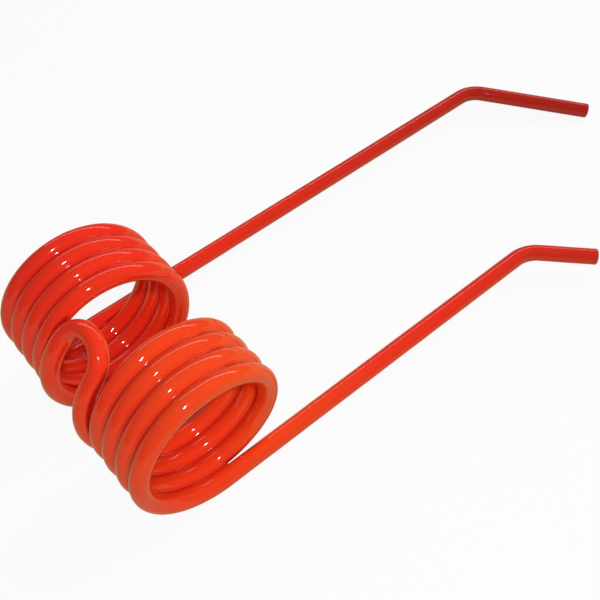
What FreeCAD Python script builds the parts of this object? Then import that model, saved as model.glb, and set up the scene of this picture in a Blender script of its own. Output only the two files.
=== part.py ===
import FreeCAD, Part
import math
import os

# Tedder tine: one round spring wire, bent into two coils that share a centre loop.
# Each coil ends in an arm, and each arm in a cranked tip. Millimetres and degrees.
#
# Frame: the origin is on the coils' common axis, midway between the coils. +Y runs along that
# axis to the left coil, +X points the way the arms reach, +Z is up. The tine is modelled as it
# lies on a level surface: on the undersides of both coils and the end of the longer arm's tip.

DRIVING_SIZES = [
    ("wire_diameter", 9.5, "round spring wire"),
    ("coil_bore", 65.5, "clear bore of each coil"),
    ("turn_gap", 1.1, "clear gap between neighbouring turns"),
    ("whole_turns", 4, "whole turns of each coil, counted from its underside"),
    ("loop_angle", 136.0, "further round, to where the centre loop leaves the coil"),
    ("runout_angle", 172.0, "last bend of each coil, a little wider, up to the centre loop"),
    ("runout_growth", 1.2, "how much larger the radius of that last bend is"),
    ("loop_opening", 18.0, "clear width inside the centre loop"),
    ("setback_radius", 100.0, "gentle bend that squares each arm to the coil axis"),
    ("right_arm", 211.0, "straight length of the shorter arm"),
    ("left_arm", 292.0, "straight length of the longer arm"),
    ("crank_radius", 20.0, "bend between arm and tip"),
    ("right_crank", 46.0, "turn between the shorter arm and its tip"),
    ("left_crank", 49.0, "turn between the longer arm and its tip"),
    ("right_roll", 90.0, "turn of the shorter arm's crank from straight down to the right"),
    ("left_roll", 83.0, "turn of the longer arm's crank from straight down to the right"),
    ("right_tip", 33.0, "straight length past the shorter arm's crank"),
    ("left_tip", 73.0, "straight length past the longer arm's crank"),
    ("end_chamfer", 0.6, "broken edge of both cut ends"),
]
FULL_TURN = 360
HALF_TURN = 180
ARCS_PER_TURN = 4
VOLUME_TOLERANCE = 0.002
# the search for the tine's resting lean
STEEPEST_LEAN = 45.0
HALVINGS = 40
POINTS_PER_BEND = 25
RIGHT = -1
LEFT = 1

doc = FreeCAD.newDocument("tedder_tine")


def make_sheet():
    """Write the driving dimensions into a spreadsheet, one named cell each."""
    sheet = doc.addObject("Spreadsheet::Sheet", "sizes")
    for row, (name, value, meaning) in enumerate(DRIVING_SIZES, start=1):
        sheet.set(f"A{row}", name)
        sheet.set(f"B{row}", str(value))
        sheet.set(f"C{row}", meaning)
        sheet.setAlias(f"B{row}", name)
    doc.recompute()
    return sheet


sizes = make_sheet()


def bend(start, heading, towards, radius, angle):
    """Bend the wire at a point, towards a direction square to its heading.

    Returns the arc as three points, and the heading after it.
    """
    centre = start + towards * radius
    turn = FreeCAD.Rotation(heading.cross(towards), angle)
    half_turn = FreeCAD.Rotation(heading.cross(towards), angle / 2)
    arc = (start, centre + half_turn.multVec(start - centre), centre + turn.multVec(start - centre))
    return arc, turn.multVec(heading)


def rolled(direction, heading, angle):
    """Turn a direction about the wire's heading, by an angle in radians."""
    return FreeCAD.Rotation(heading, math.degrees(angle)).multVec(direction)


def lead_angle(radius, pitch, step):
    """Give the slope, in radians, of a coil whose bends each take one step round its axis."""
    advance = pitch * step / (2 * math.pi)
    return math.atan(advance / (2 * radius * math.tan(step / 2)))


def step_angle(angle):
    """Share a coil's whole angle out in equal steps, and give one of them in radians."""
    return math.radians(angle / math.ceil(angle * ARCS_PER_TURN / FULL_TURN))


def wind(start, heading, inward, handed, radius, pitch, angle):
    """Wind the wire round an axis in equal bends, rolled about the wire between one and the next.

    The first heading and the direction inward to the axis are square to each other. The bends
    meet on a helix of this radius and pitch. Returns the arcs, the last heading and the last
    direction inward.
    """
    step = step_angle(angle)
    advance = pitch * step / (2 * math.pi)
    chord = math.hypot(2 * radius * math.sin(step / 2), advance)
    roll = 2 * math.asin(advance * math.sin(step / 2) / chord)
    turn = 2 * math.acos(math.cos(step / 2) / math.cos(roll / 2))
    bend_radius = chord / 2 / math.sin(turn / 2)
    arcs = []
    for _ in range(round(math.radians(angle) / step)):
        towards = rolled(inward, heading, handed * roll / 2)
        turned = FreeCAD.Rotation(heading.cross(towards), math.degrees(turn))
        arc, heading = bend(start, heading, towards, bend_radius, math.degrees(turn))
        inward = rolled(turned.multVec(towards), heading, handed * roll / 2)
        start = arc[2]
        arcs.append(arc)
    return arcs, heading, inward


def make_edge(points):
    """Turn two points into a straight edge, and three into an arc."""
    if len(points) == 2:
        return Part.LineSegment(*points).toShape()
    return Part.Arc(*points).toShape()


def end_heading(points):
    """Give the direction in which a stretch of wire ends."""
    edge = make_edge(points)
    return edge.tangentAt(edge.LastParameter).normalize()


def backwards(route):
    """Run a route the other way."""
    return [stretch[::-1] for stretch in route[::-1]]


def coil_half(side):
    """Route one coil from its arm's end to its leg of the centre loop.

    It goes round from the coil's underside by way of its back, away from the arms.
    """
    radius = (sizes.coil_bore + sizes.wire_diameter) / 2
    pitch = sizes.wire_diameter + sizes.turn_gap
    runout_radius = radius + sizes.runout_growth
    runout_pitch = pitch * runout_radius / radius
    wound = FULL_TURN * sizes.whole_turns + sizes.loop_angle - sizes.runout_angle
    lead = lead_angle(radius, pitch, step_angle(wound))
    start = FreeCAD.Vector(0, 0, -radius)
    heading = FreeCAD.Vector(-math.cos(lead), -side * math.sin(lead), 0)
    up = FreeCAD.Vector(0, 0, 1)
    coil, heading, inward = wind(start, heading, up, -side, radius, pitch, wound)
    runout, _, _ = wind(
        coil[-1][2], heading, inward, -side, runout_radius, runout_pitch, sizes.runout_angle)
    half = coil + runout
    leg_offset = side * (sizes.loop_opening + sizes.wire_diameter) / 2
    to_leg = FreeCAD.Vector(0, leg_offset - half[-1][2].y, 0)
    return [tuple(point + to_leg for point in arc) for arc in half]


def centre_loop(right_leg, left_leg):
    """Join the two legs, which lean towards each other by the coils' lead, by one arc."""
    right_end, left_end = right_leg[-1], left_leg[-1]
    heading = end_heading(right_leg)
    lean_in = math.asin(heading.y)
    radius = (left_end - right_end).Length / 2 / math.cos(lean_in)
    across = FreeCAD.Vector(0, 1, 0)
    towards = (across - heading * heading.y).normalize()
    arc, _ = bend(right_end, heading, towards, radius, HALF_TURN - 2 * math.degrees(lean_in))
    return [(right_end, arc[1], left_end)]


def arm_and_tip(coil, arm_length, crank_angle, crank_roll, tip_length):
    """Route one arm, its crank and its tip, outwards from the coil's underside."""
    start = coil[0][0]
    heading = end_heading(backwards(coil[:1])[0])
    forwards = FreeCAD.Vector(1, 0, 0)
    towards = (forwards - heading * heading.x).normalize()
    turn = math.degrees(math.acos(heading.x))
    setback, heading = bend(start, heading, towards, sizes.setback_radius, turn)
    arm_end = setback[2] + heading * arm_length
    roll = math.radians(crank_roll)
    crank_towards = FreeCAD.Vector(0, -math.sin(roll), -math.cos(roll))
    crank, heading = bend(arm_end, heading, crank_towards, sizes.crank_radius, crank_angle)
    tip_end = crank[2] + heading * tip_length
    return [setback, (setback[2], arm_end), crank, (crank[2], tip_end)]


def make_route():
    """Route the whole wire, from the right tip's end to the left tip's end, and list its coils."""
    right_coil = coil_half(RIGHT)
    left_coil = coil_half(LEFT)
    right_arm = arm_and_tip(
        right_coil, sizes.right_arm, sizes.right_crank, sizes.right_roll, sizes.right_tip)
    left_arm = arm_and_tip(
        left_coil, sizes.left_arm, sizes.left_crank, sizes.left_roll, sizes.left_tip)
    loop = centre_loop(right_coil[-1], left_coil[-1])
    route = backwards(right_arm) + right_coil + loop + backwards(left_coil) + left_arm
    return route, right_coil + left_coil


def resting_lean(coils, tips):
    """Find how far the arms rise when the lowest coil and the lowest tip end lie on one level."""
    wire_radius = sizes.wire_diameter / 2
    coil_points = [point for arc in coils for point in make_edge(arc).discretize(POINTS_PER_BEND)]

    def tip_clearance(lean):
        turn = FreeCAD.Rotation(FreeCAD.Vector(0, 1, 0), -lean)
        coil_level = min(turn.multVec(point).z for point in coil_points) - wire_radius
        tip_levels = []
        for before_end, end in tips:
            slope = turn.multVec((end - before_end).normalize())
            rim = wire_radius * math.hypot(slope.x, slope.y)
            tip_levels.append(turn.multVec(end).z - rim)
        return min(tip_levels) - coil_level

    low, high = 0.0, STEEPEST_LEAN
    for _ in range(HALVINGS):
        middle = (low + high) / 2
        if tip_clearance(middle) < 0:
            low = middle
        else:
            high = middle
    return high


def make_centreline(route):
    """Keep the route as one wire, for the section to follow."""
    centreline = doc.addObject("Part::Feature", "wire_centreline")
    centreline.Shape = Part.Wire([make_edge(points) for points in route])
    return centreline


def make_section(route):
    """Draw the round section at the right tip's end, square to the wire."""
    start, after = route[0][0], route[0][1]
    section = doc.addObject("Part::Circle", "wire_section")
    section.setExpression("Radius", "sizes.wire_diameter / 2")
    facing = FreeCAD.Rotation(FreeCAD.Vector(0, 0, 1), after - start)
    section.Placement = FreeCAD.Placement(start, facing)
    return section


def sweep_wire(centreline, section):
    """Carry the section along the centreline: the whole tine as one bent wire."""
    wire = doc.addObject("Part::Sweep", "bent_wire")
    wire.Sections = [section]
    wire.Spine = (centreline, [f"Edge{i}" for i in range(1, len(centreline.Shape.Edges) + 1)])
    wire.Solid = True
    wire.Frenet = False
    doc.recompute()
    return wire


def break_cut_ends(wire, tip_ends):
    """Chamfer the rims of the two cut ends."""
    tine = doc.addObject("Part::Chamfer", "tine")
    tine.Base = wire
    rims = []
    for number, edge in enumerate(wire.Shape.Edges, start=1):
        is_rim = any((edge.CenterOfMass - end).Length < sizes.end_chamfer for end in tip_ends)
        if is_rim and edge.Closed:
            rims.append((number, sizes.end_chamfer, sizes.end_chamfer))
    tine.Edges = rims
    return tine


def check_document(parts):
    """Stop if any object failed, or a sub-part isn't one valid solid."""
    for obj in doc.Objects:
        if "Invalid" in obj.State or "Error" in obj.State:
            raise RuntimeError(f"{obj.Label} failed: {obj.State}")
    for part in parts:
        shape = part.Shape
        if shape.isNull() or not shape.isValid() or len(shape.Solids) != 1:
            raise RuntimeError(f"{part.Label} isn't one valid solid")


def check_volume(shape, centreline):
    """Stop if the solid doesn't hold the wire's section times its length."""
    wire_area = math.pi * sizes.wire_diameter ** 2 / 4
    length = centreline.Shape.Length
    share = shape.Volume / (wire_area * length)
    print(f"wire length {length:.1f} mm, volume {shape.Volume:.0f} mm3, "
          f"{share:.5f} of section times length")
    if abs(share - 1) > VOLUME_TOLERANCE:
        raise RuntimeError("the solid doesn't hold the whole wire")


route, coils = make_route()
tip_ends = [route[0][0], route[-1][-1]]
centreline = make_centreline(route)
section = make_section(route)
bent_wire = sweep_wire(centreline, section)
tine = break_cut_ends(bent_wire, tip_ends)
tine.Label = "tine"
lean = resting_lean(coils, [route[0][::-1], route[-1]])
tine.Placement = FreeCAD.Placement(FreeCAD.Vector(), FreeCAD.Rotation(FreeCAD.Vector(0, 1, 0), -lean))
doc.recompute()
check_document([tine])
check_volume(tine.Shape, centreline)
print(f"the arms rise by {lean:.3f} degrees")

os.makedirs("parts", exist_ok=True)
tine.Shape.exportStep(f"parts/{tine.Label}.step")
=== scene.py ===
import math

import bmesh
import bpy
from mathutils import Matrix, Vector, noise
from mathutils.bvhtree import BVHTree


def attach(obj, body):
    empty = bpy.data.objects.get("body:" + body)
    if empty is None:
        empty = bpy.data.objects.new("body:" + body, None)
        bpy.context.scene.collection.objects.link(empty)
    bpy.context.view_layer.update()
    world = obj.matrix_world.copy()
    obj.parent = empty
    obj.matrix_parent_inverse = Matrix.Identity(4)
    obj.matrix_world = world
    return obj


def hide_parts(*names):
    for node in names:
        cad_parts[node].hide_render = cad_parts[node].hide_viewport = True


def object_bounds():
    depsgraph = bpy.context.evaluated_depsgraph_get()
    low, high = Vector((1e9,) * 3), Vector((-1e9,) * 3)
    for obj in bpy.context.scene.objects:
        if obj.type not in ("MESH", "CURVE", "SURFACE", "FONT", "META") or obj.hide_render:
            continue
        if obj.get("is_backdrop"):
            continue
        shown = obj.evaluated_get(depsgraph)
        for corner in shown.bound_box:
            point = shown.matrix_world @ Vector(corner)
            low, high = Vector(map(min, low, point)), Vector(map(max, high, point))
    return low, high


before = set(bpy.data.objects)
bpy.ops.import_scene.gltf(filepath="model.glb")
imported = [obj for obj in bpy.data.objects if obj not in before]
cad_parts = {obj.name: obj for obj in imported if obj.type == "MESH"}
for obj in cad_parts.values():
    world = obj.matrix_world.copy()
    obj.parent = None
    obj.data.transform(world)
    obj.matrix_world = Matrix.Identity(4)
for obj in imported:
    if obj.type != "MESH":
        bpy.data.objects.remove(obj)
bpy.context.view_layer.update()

# Tedder tine: one round spring wire in two coils with a centre loop, two arms and two cranked
# tips, dipped in glossy orange-red enamel. Metres and degrees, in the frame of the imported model:
# +Y runs along the coils' axis to the left coil, +X is the way the arms reach, +Z is up.

# the wire's driving sizes
WIRE_DIAMETER = 0.0095
COIL_BORE = 0.0655
TURN_GAP = 0.0011
WHOLE_TURNS = 4
LOOP_ANGLE = 136.0
RUNOUT_ANGLE = 172.0
RUNOUT_GROWTH = 0.0012
LOOP_OPENING = 0.018
SETBACK_RADIUS = 0.100
CRANK_RADIUS = 0.020
ARMS = {
    -1: {"arm": 0.211, "crank": 46.0, "roll": 90.0, "tip": 0.033},
    +1: {"arm": 0.292, "crank": 49.0, "roll": 83.0, "tip": 0.073},
}
ARCS_PER_TURN = 4
FULL_TURN = 360
QUARTER_TURN = 90

# how finely the mesh follows the wire, and how near each other two points count as one
RING_SIDES = 40
RING_SPACING = 0.0018
SAME_POINT = 1e-6

# how the paint lies on the wire: its waves; and how near another turn must come to give a point
# painted shade between the turns
WAVE_LENGTHS = ((0.011, 0.00005), (0.0045, 0.000018))
GROOVE_SHADE_REACH = 0.004

# the paint that bridges two turns, hollow on both sides and thick enough to stand clear of waves
WEB_FILLET = 0.0013
WEB_THICKENING = 0.00012
WEB_SEGMENTS = 9
WEB_TAPER = 0.15
WEB_LEAD_IN = 12.0
WEB_ARCS_PER_TURN = 36
WEB_EDGE_RISE = 0.3

# painted shade for light that falls off with distance: the point where the paint is painted
# brightest and most orange, how fast it darkens from there in steps of the ramp per metre, how
# unevenly, its colours as it darkens, and the painted shade in the grooves
PAINTED_LIGHT_CENTRE = (0.03, -0.07, 0.02)
PAINTED_FALLOFF_RATE = 2.5
FILM_UNEVENNESS = 0.12
PAINTED_FALLOFF_COLOURS = (
    (0.0, (0.96, 0.088, 0.010, 1)), (0.10, (0.96, 0.068, 0.010, 1)),
    (0.23, (0.96, 0.036, 0.010, 1)), (0.33, (0.93, 0.031, 0.010, 1)),
    (0.55, (0.76, 0.026, 0.010, 1)), (0.85, (0.52, 0.016, 0.010, 1)),
)
# painted shade deep in the grooves between the turns
GROOVE_SHADE_COLOUR = (0.50, 0.008, 0.008, 1)

# the cut ends, rounded by the shears and the paint
END_ROUNDING = 0.0009
END_SEGMENTS = 5

# the search for how the tine lies
STEEPEST_LEAN = 45.0
HALVINGS = 30

# what the camera sees
CAMERA_AT = Vector((-0.0821, -0.2178, 0.3358))
CAMERA_AZIMUTH = -40.11
CAMERA_ELEVATION = 52.65
CAMERA_ROLL = -0.10
LENS = 49.47
SENSOR = 36.0

# the light that the room sheds, and how the camera sees its walls, where 1 is white
ROOM_LEVEL = 0.14
BACKDROP_LEVEL = 0.93

# the floor: its half width, its colours to the tine and to the camera, and what part of it glows
FLOOR_REACH = 4.0
WARM_FLOOR = (0.50, 0.39, 0.24, 1)
WARM_GLOW = (1.0, 0.82, 0.48, 1)
PALE_FLOOR = (0.85, 0.85, 0.85, 1)
WHITE = (1.0, 1.0, 1.0, 1)
GLOW_TO_CAMERA = 0.9
GLOW_IN_GLOSS = 0.45

# the point that every lamp faces
LIT_POINT = Vector((0.03, 0, 0))


class WireFormer:
    """Carries a section on as a bending machine forms wire, from the last ring that it left."""

    def __init__(self, mesh, ring, at, heading):
        self.mesh, self.ring, self.at, self.heading = mesh, ring, at, heading

    def carry(self, length, centre, axis, turn, straight):
        """Carry the last ring on by even steps, round an axis or straight."""
        steps = math.ceil(length / RING_SPACING)
        spun = bmesh.ops.spin(
            self.mesh, geom=self.ring, cent=centre, axis=axis, dvec=straight / steps, angle=turn,
            steps=steps, use_duplicate=False)
        self.ring = [part for part in spun["geom_last"] if isinstance(part, bmesh.types.BMEdge)]

    def feed(self, length):
        """Push the wire straight on."""
        self.carry(length, self.at, self.heading, 0, self.heading * length)
        self.at = self.at + self.heading * length

    def bend(self, towards, radius, angle):
        """Bend the wire by an angle in degrees, towards a direction square to it."""
        axis = self.heading.cross(towards)
        centre = self.at + towards * radius
        turn = math.radians(angle)
        self.carry(radius * turn, centre, axis, turn, Vector())
        turned = Matrix.Rotation(turn, 3, axis)
        self.at = centre + turned @ (self.at - centre)
        self.heading = turned @ self.heading
        return turned @ towards

    def roll_ring(self, angle):
        """Roll the last ring about the wire, by an angle in radians."""
        points = list({point for edge in self.ring for point in edge.verts})
        bmesh.ops.rotate(
            self.mesh, verts=points, cent=self.at, matrix=Matrix.Rotation(angle, 3, self.heading))

    def wind(self, inward, handed, radius, pitch, angle, step):
        """Wind a coil in equal bends on a helix, and give the last direction inward."""
        advance = pitch * step / math.tau
        chord = math.hypot(2 * radius * math.sin(step / 2), advance)
        roll = 2 * math.asin(advance * math.sin(step / 2) / chord)
        turn = 2 * math.acos(math.cos(step / 2) / math.cos(roll / 2))
        bend_radius = chord / 2 / math.sin(turn / 2)
        for _ in range(round(math.radians(angle) / step)):
            towards = Matrix.Rotation(handed * roll / 2, 3, self.heading) @ inward
            towards = self.bend(towards, bend_radius, math.degrees(turn))
            self.roll_ring(handed * roll)
            inward = Matrix.Rotation(handed * roll / 2, 3, self.heading) @ towards
        return inward

    def cut(self):
        """Close the wire's end and round its rim."""
        face = bmesh.ops.contextual_create(self.mesh, geom=self.ring)["faces"][0]
        bmesh.ops.bevel(
            self.mesh, geom=list(face.edges), offset=END_ROUNDING, affect="EDGES",
            segments=END_SEGMENTS, profile=0.5, material=-1)


def step_angle(angle, arcs_per_turn):
    """Share a coil's whole angle out in equal steps, and give one of them in radians."""
    return math.radians(angle / math.ceil(angle * arcs_per_turn / FULL_TURN))


def lead_angle(radius, pitch, step):
    """Give the slope of a coil whose bends each take one step round its axis."""
    return math.atan(pitch * step / math.tau / (2 * radius * math.tan(step / 2)))


def first_ring(mesh, at, heading):
    """Draw the wire's round section, square to its heading."""
    side = heading.cross(Vector((0, 0, 1))).normalized()
    facing = Matrix((side, side.cross(heading), heading)).transposed().to_4x4()
    points = bmesh.ops.create_circle(
        mesh, segments=RING_SIDES, radius=WIRE_DIAMETER / 2, cap_ends=False,
        matrix=Matrix.Translation(at) @ facing)["verts"]
    return list({edge for point in points for edge in point.link_edges})


def web_section(mesh, at, heading, pitch):
    """Draw the section of the paint between two turns: two hollows, each touching both turns.

    Mark the middle of a hollow as the deepest, as mark_grooves does on the wire, for the painted
    shade in the grooves.
    """
    groove = mesh.verts.layers.float.new("groove")
    side = heading.cross(Vector((0, 0, 1))).normalized()
    outwards = side.cross(heading)
    reach = WIRE_DIAMETER / 2 + WEB_FILLET
    rise = math.sqrt(reach ** 2 - (pitch / 2) ** 2) + WEB_THICKENING
    spread = math.asin(pitch / 2 / reach)
    points = []
    for face in (1, -1):
        for step in range(WEB_SEGMENTS + 1):
            place = 1 - 2 * step / WEB_SEGMENTS
            angle = spread * place
            across = WEB_FILLET * math.sin(angle)
            height = rise - WEB_FILLET * math.cos(angle)
            point = mesh.verts.new(at + face * (side * across + outwards * height))
            point[groove] = 1 - WEB_EDGE_RISE * abs(place)
            points.append(point)
    return [mesh.edges.new(pair) for pair in zip(points, points[1:] + points[:1])]


def end_web(mesh, ring):
    """Draw the paint between two turns out to a thin end, and close it."""
    points = list({point for edge in ring for point in edge.verts})
    middle = sum((point.co for point in points), Vector()) / len(points)
    bmesh.ops.scale(
        mesh, verts=points, vec=(WEB_TAPER,) * 3, space=Matrix.Translation(-middle))
    bmesh.ops.contextual_create(mesh, geom=ring)


def bridge_turns(side, radius, pitch, angle):
    """Lay a strip of paint along the groove between the turns of one coil."""
    mesh = bmesh.new()
    angle += WEB_LEAD_IN
    step = step_angle(angle, WEB_ARCS_PER_TURN)
    lead = lead_angle(radius, pitch, step)
    turned_back = Matrix.Rotation(-math.radians(WEB_LEAD_IN), 3, "Y")
    turns_along = WEB_LEAD_IN / FULL_TURN - 0.5
    start = turned_back @ Vector((0, 0, -radius)) + Vector((0, side * pitch * turns_along, 0))
    heading = turned_back @ Vector((-math.cos(lead), -side * math.sin(lead), 0))
    ring = web_section(mesh, start, heading, pitch)
    strip = WireFormer(mesh, ring, start, heading)
    strip.wind(turned_back @ Vector((0, 0, 1)), -side, radius, pitch, angle, step)
    end_web(mesh, ring)
    end_web(mesh, strip.ring)
    return mesh


def form_half(side):
    """Form one half of the tine, from the middle of the centre loop to the end of its tip.

    Give it with the paint that bridges its turns.
    """
    mesh = bmesh.new()
    radius = (COIL_BORE + WIRE_DIAMETER) / 2
    pitch = WIRE_DIAMETER + TURN_GAP
    wound = FULL_TURN * WHOLE_TURNS + LOOP_ANGLE - RUNOUT_ANGLE
    step = step_angle(wound, ARCS_PER_TURN)
    lead = lead_angle(radius, pitch, step)
    underside = Vector((0, 0, -radius))
    into_coil = Vector((-math.cos(lead), -side * math.sin(lead), 0))
    ring = first_ring(mesh, underside, into_coil)

    coil = WireFormer(mesh, ring, underside, into_coil)
    inward = coil.wind(Vector((0, 0, 1)), -side, radius, pitch, wound, step)
    runout_radius = radius + RUNOUT_GROWTH
    runout_step = step_angle(RUNOUT_ANGLE, ARCS_PER_TURN)
    coil.wind(
        inward, -side, runout_radius, pitch * runout_radius / radius, RUNOUT_ANGLE, runout_step)
    leg_offset = side * (LOOP_OPENING + WIRE_DIAMETER) / 2
    to_leg = Vector((0, leg_offset - coil.at.y, 0))

    lean_in = math.asin(-side * coil.heading.y)
    loop_radius = abs(leg_offset) / math.cos(lean_in)
    across = Vector((0, -side, 0))
    towards = (across - coil.heading * across.dot(coil.heading)).normalized()
    coil.bend(towards, loop_radius, QUARTER_TURN - math.degrees(lean_in))

    sizes = ARMS[side]
    arm = WireFormer(mesh, ring, underside, -into_coil)
    forwards = Vector((1, 0, 0))
    towards = (forwards - arm.heading * arm.heading.x).normalized()
    arm.bend(towards, SETBACK_RADIUS, math.degrees(math.acos(arm.heading.x)))
    arm.feed(sizes["arm"])
    roll = math.radians(sizes["roll"])
    arm.bend(Vector((0, -math.sin(roll), -math.cos(roll))), CRANK_RADIUS, sizes["crank"])
    arm.feed(sizes["tip"])
    arm.cut()
    web = bridge_turns(side, radius, pitch, wound - FULL_TURN)
    for laid in (mesh, web):
        bmesh.ops.translate(laid, verts=laid.verts, vec=to_leg)
    return mesh, web


def lowest(points, lean):
    """Give the level of the lowest point once the arms rise by the lean, in radians."""
    return min(point.z * math.cos(lean) + point.x * math.sin(lean) for point in points)


def resting_lean(mesh):
    """Find how far the arms rise when the tine lies on its coils and one tip."""
    points = [point.co.copy() for point in mesh.verts]
    coils = [point for point in points if point.x < COIL_BORE]
    tips = [point for point in points if point.x >= COIL_BORE]
    low, high = 0.0, math.radians(STEEPEST_LEAN)
    for _ in range(HALVINGS):
        middle = (low + high) / 2
        if lowest(tips, middle) < lowest(coils, middle):
            low = middle
        else:
            high = middle
    return high


def let_paint_settle(mesh):
    """Give the wire the faint waves of dipped paint."""
    mesh.normal_update()
    moves = []
    for point in mesh.verts:
        rise = sum(height * noise.noise(point.co / length) for length, height in WAVE_LENGTHS)
        moves.append(point.normal * rise)
    for point, move in zip(mesh.verts, moves):
        point.co += move


def mark_grooves(mesh):
    """Mark how deep each point lies between two turns, for the painted shade in the grooves."""
    mesh.normal_update()
    surface = BVHTree.FromBMesh(mesh)
    groove = mesh.verts.layers.float.new("groove")
    for point in mesh.verts:
        probe = point.co + point.normal * GROOVE_SHADE_REACH
        nearest, facing, _, distance = surface.find_nearest(probe)
        outside = facing.dot(probe - nearest) > 0
        point[groove] = 1 - distance / GROOVE_SHADE_REACH if outside else 1


def joined(first, second):
    """Put two meshes in one, with their shared points merged and their faces outwards."""
    added = bpy.data.meshes.new("added")
    second.to_mesh(added)
    first.from_mesh(added)
    bpy.data.meshes.remove(added)
    bmesh.ops.remove_doubles(first, verts=first.verts, dist=SAME_POINT)
    bmesh.ops.recalc_face_normals(first, faces=first.faces)
    return first


def finished(mesh, name):
    """Turn a mesh into a smooth piece of the scene."""
    for face in mesh.faces:
        face.smooth = True
    data = bpy.data.meshes.new(name)
    mesh.to_mesh(data)
    piece = bpy.data.objects.new(name, data)
    bpy.context.scene.collection.objects.link(piece)
    return piece


def make_tine():
    """Join the two halves into the whole tine, laid down as it rests, and mark its grooves for their
    painted shade.
    """
    right, right_web = form_half(-1)
    left, left_web = form_half(+1)
    wire, web = joined(right, left), joined(right_web, left_web)
    laid_down = Matrix.Rotation(-resting_lean(wire), 3, "Y")
    for mesh in (wire, web):
        bmesh.ops.rotate(mesh, verts=mesh.verts, cent=(0, 0, 0), matrix=laid_down)
        let_paint_settle(mesh)
    mark_grooves(wire)
    return finished(wire, "tine_wire"), finished(web, "paint_between_turns")


class Signal:
    """A node's output that Python's own operators work on. Each operator adds a Math node."""

    def __init__(self, finish, socket):
        self.finish, self.socket = finish, socket

    def maths(self, operation, first, second):
        """Add a Math node for one operation on two values."""
        return self.finish.node("ShaderNodeMath", {"operation": operation}, {0: first, 1: second})

    def __add__(self, other):
        return self.maths("ADD", self, other)

    def __radd__(self, other):
        return self.maths("ADD", other, self)

    def __sub__(self, other):
        return self.maths("SUBTRACT", self, other)

    def __rsub__(self, other):
        return self.maths("SUBTRACT", other, self)

    def __mul__(self, other):
        return self.maths("MULTIPLY", self, other)

    def __rmul__(self, other):
        return self.maths("MULTIPLY", other, self)


class Finish:
    """One procedural material, built node by node."""

    def __init__(self, name):
        self.material = bpy.data.materials.new(name)
        self.material.use_nodes = True
        self.tree = self.material.node_tree
        self.tree.nodes.clear()

    @classmethod
    def of_tree(cls, tree):
        """Take over a node tree that isn't a material's."""
        finish = cls.__new__(cls)
        finish.tree = tree
        tree.nodes.clear()
        return finish

    def node(self, kind, settings, inputs, output=0):
        """Add a node of any kind: its settings first, then each socket's value or link."""
        made = self.tree.nodes.new(kind)
        for name, value in settings.items():
            if name == "stops":
                self.set_stops(made.color_ramp, value)
            else:
                setattr(made, name, value)
        for name, value in inputs.items():
            if isinstance(value, Signal):
                self.tree.links.new(value.socket, made.inputs[name])
            else:
                made.inputs[name].default_value = value
        return Signal(self, made.outputs[output]) if made.outputs else made

    @staticmethod
    def set_stops(ramp, stops):
        """Give a colour ramp its stops, as pairs of place and colour."""
        while len(ramp.elements) < len(stops):
            ramp.elements.new(1.0)
        for element, (place, colour) in zip(ramp.elements, stops):
            element.position = place
            element.color = colour

    def noise(self, where, scale, detail):
        """Give soft noise with its scale per metre."""
        return self.node(
            "ShaderNodeTexNoise", {}, {"Vector": where, "Scale": scale, "Detail": detail})

    def ranged(self, value, low, high, to_low, to_high):
        """Carry a value from one range to another, and hold it there."""
        return self.node(
            "ShaderNodeMapRange", {"clamp": True},
            {"Value": value, "From Min": low, "From Max": high, "To Min": to_low, "To Max": to_high})

    def mixed(self, factor, first, second):
        """Blend two colours, by the Mix node's sockets for them: 6 and 7, and 2 on its way out."""
        return self.node(
            "ShaderNodeMix", {"data_type": "RGBA"}, {0: factor, 6: first, 7: second}, output=2)


def enamel():
    """Glossy dipped orange-red enamel, with painted shade: deeper red away from a point by the near
    coil, as light falls off, and in the grooves between the turns.
    """
    finish = Finish("dipped_enamel")
    where = finish.node("ShaderNodeTexCoord", {}, {}, output="Object")
    clouds = finish.noise(where, scale=30.0, detail=3.0)
    # painted shade: deeper red with distance from a point by the near coil, in place of light that
    # falls off
    from_painted_light = finish.node(
        "ShaderNodeVectorMath", {"operation": "DISTANCE"}, {0: where, 1: PAINTED_LIGHT_CENTRE},
        output="Value")
    falloff = from_painted_light * PAINTED_FALLOFF_RATE + clouds * FILM_UNEVENNESS - FILM_UNEVENNESS / 2
    falloff_colour = finish.node("ShaderNodeValToRGB", {"stops": PAINTED_FALLOFF_COLOURS}, {0: falloff})
    # painted shade: deeper red deep in the grooves between the turns
    groove = finish.node("ShaderNodeAttribute", {"attribute_name": "groove"}, {}, output="Fac")
    groove_shade = finish.ranged(groove, 0.75, 1.0, 0.0, 0.8)
    colour = finish.mixed(groove_shade, falloff_colour, GROOVE_SHADE_COLOUR)
    peel = finish.noise(where, scale=900.0, detail=1.0)
    sags = finish.noise(where, scale=160.0, detail=2.0)
    roughness = finish.ranged(clouds, 0.3, 0.7, 0.04, 0.07)
    bump = finish.node(
        "ShaderNodeBump", {},
        {"Strength": 0.2, "Distance": 0.001, "Height": peel * 0.008 + sags * 0.08})
    shader = finish.node(
        "ShaderNodeBsdfPrincipled", {},
        {"Base Color": colour, "Roughness": roughness, "IOR": 1.5, "Normal": bump})
    finish.node("ShaderNodeOutputMaterial", {}, {"Surface": shader})
    return finish.material


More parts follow.
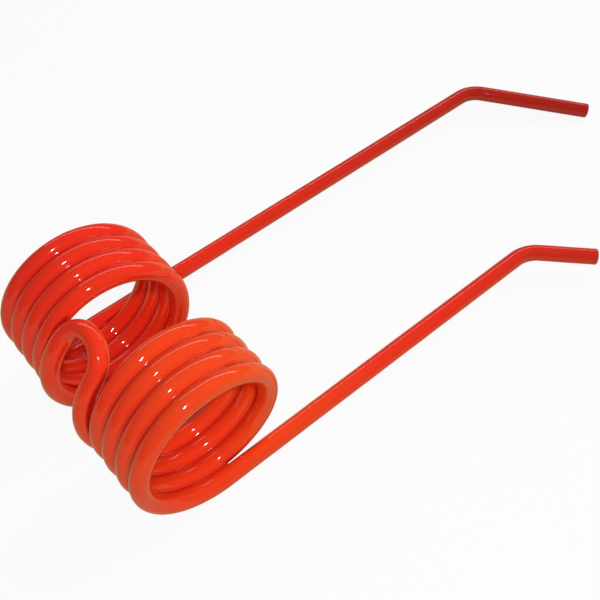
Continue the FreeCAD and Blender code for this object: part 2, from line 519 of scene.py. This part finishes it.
def floor_finish():
    """White floor that keeps a soft shadow, and throws a warm light back up at the tine."""
    finish = Finish("white_floor")
    camera_ray = finish.node("ShaderNodeLightPath", {}, {}, output="Is Camera Ray")
    in_gloss = finish.node("ShaderNodeLightPath", {}, {}, output="Is Glossy Ray")
    shed = finish.mixed(camera_ray, WARM_FLOOR, PALE_FLOOR)
    seen = finish.mixed(camera_ray, WARM_GLOW, WHITE)
    matt = finish.node("ShaderNodeBsdfDiffuse", {}, {"Color": shed})
    glow = finish.node("ShaderNodeEmission", {}, {"Color": seen, "Strength": 1.0})
    share = camera_ray * GLOW_TO_CAMERA + in_gloss * GLOW_IN_GLOSS
    shader = finish.node("ShaderNodeMixShader", {}, {0: share, 1: matt, 2: glow})
    finish.node("ShaderNodeOutputMaterial", {}, {"Surface": shader})
    return finish.material


def make_floor(level):
    """Lay a plain white floor under the tine."""
    mesh = bmesh.new()
    bmesh.ops.create_grid(
        mesh, x_segments=1, y_segments=1, size=FLOOR_REACH,
        matrix=Matrix.Translation((0, 0, level)))
    floor = finished(mesh, "floor")
    floor.data.materials.append(floor_finish())
    floor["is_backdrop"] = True


def aim(thing, at, direction):
    """Place a lamp out along a direction from a point, and turn it to face the point."""
    thing.location = at + direction
    thing.rotation_mode = "QUATERNION"
    thing.rotation_quaternion = (-direction).to_track_quat("-Z", "Y")


def make_lamp(name, direction, distance, watts, size, shape="DISK", in_gloss=True):
    """Hang one area lamp that shines on the coils, and say whether the gloss shows it."""
    light = bpy.data.lights.new(name, "AREA")
    light.shape = shape
    light.size, light.size_y = size
    light.energy = watts
    lamp = bpy.data.objects.new(name, light)
    lamp.visible_glossy = in_gloss
    aim(lamp, LIT_POINT, Vector(direction).normalized() * distance)
    bpy.context.scene.collection.objects.link(lamp)


def room_light():
    """Give a plain white room: white to the camera, dim in the light that it sheds."""
    world = bpy.data.worlds.new("white_room")
    world.use_nodes = True
    room = Finish.of_tree(world.node_tree)
    camera_ray = room.node("ShaderNodeLightPath", {}, {}, output="Is Camera Ray")
    strength = ROOM_LEVEL + camera_ray * (BACKDROP_LEVEL - ROOM_LEVEL)
    background = room.node("ShaderNodeBackground", {}, {"Color": WHITE, "Strength": strength})
    room.node("ShaderNodeOutputWorld", {}, {"Surface": background})
    bpy.context.scene.world = world


def light_studio():
    """Light the tine: a lamp over the camera, a soft one beside it, and a window behind."""
    make_lamp("overhead", (-0.15, -0.51, 0.85), distance=1.3, watts=6.2, size=(0.10, 0.10))
    make_lamp(
        "beside_camera", (-0.26, -0.62, 0.74), distance=0.8, watts=1.6, size=(0.40, 0.40),
        in_gloss=False)
    make_lamp(
        "window_light", (0.90, 0.02, 0.44), distance=1.5, watts=7.7, size=(0.9, 0.9),
        in_gloss=False)
    make_lamp(
        "window_frame", (0.56, 0.62, 0.56), distance=1.6, watts=6.0, size=(2.9, 0.24),
        shape="RECTANGLE")
    room_light()


def make_camera():
    """Stand the camera where the photograph was taken from."""
    data = bpy.data.cameras.new("camera")
    data.lens, data.sensor_width = LENS, SENSOR
    data.clip_start, data.clip_end = 0.01, 20.0
    camera = bpy.data.objects.new("camera", data)
    azimuth, elevation = math.radians(CAMERA_AZIMUTH), math.radians(CAMERA_ELEVATION)
    back = Vector((math.sin(azimuth) * math.cos(elevation),
                   -math.cos(azimuth) * math.cos(elevation), math.sin(elevation)))
    camera.location = CAMERA_AT
    camera.rotation_mode = "QUATERNION"
    upright = (-back).to_track_quat("-Z", "Y").to_matrix()
    rolled = Matrix.Rotation(math.radians(CAMERA_ROLL), 3, -back) @ upright
    camera.rotation_quaternion = rolled.to_quaternion()
    bpy.context.scene.collection.objects.link(camera)
    bpy.context.scene.camera = camera


scene = bpy.context.scene
scene.view_settings.view_transform = "Standard"

wire, web = make_tine()
paint = enamel()
for piece in (wire, web):
    piece.data.materials.append(paint)
    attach(piece, "root")
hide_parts("tine")

make_floor(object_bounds()[0].z)
light_studio()
make_camera()
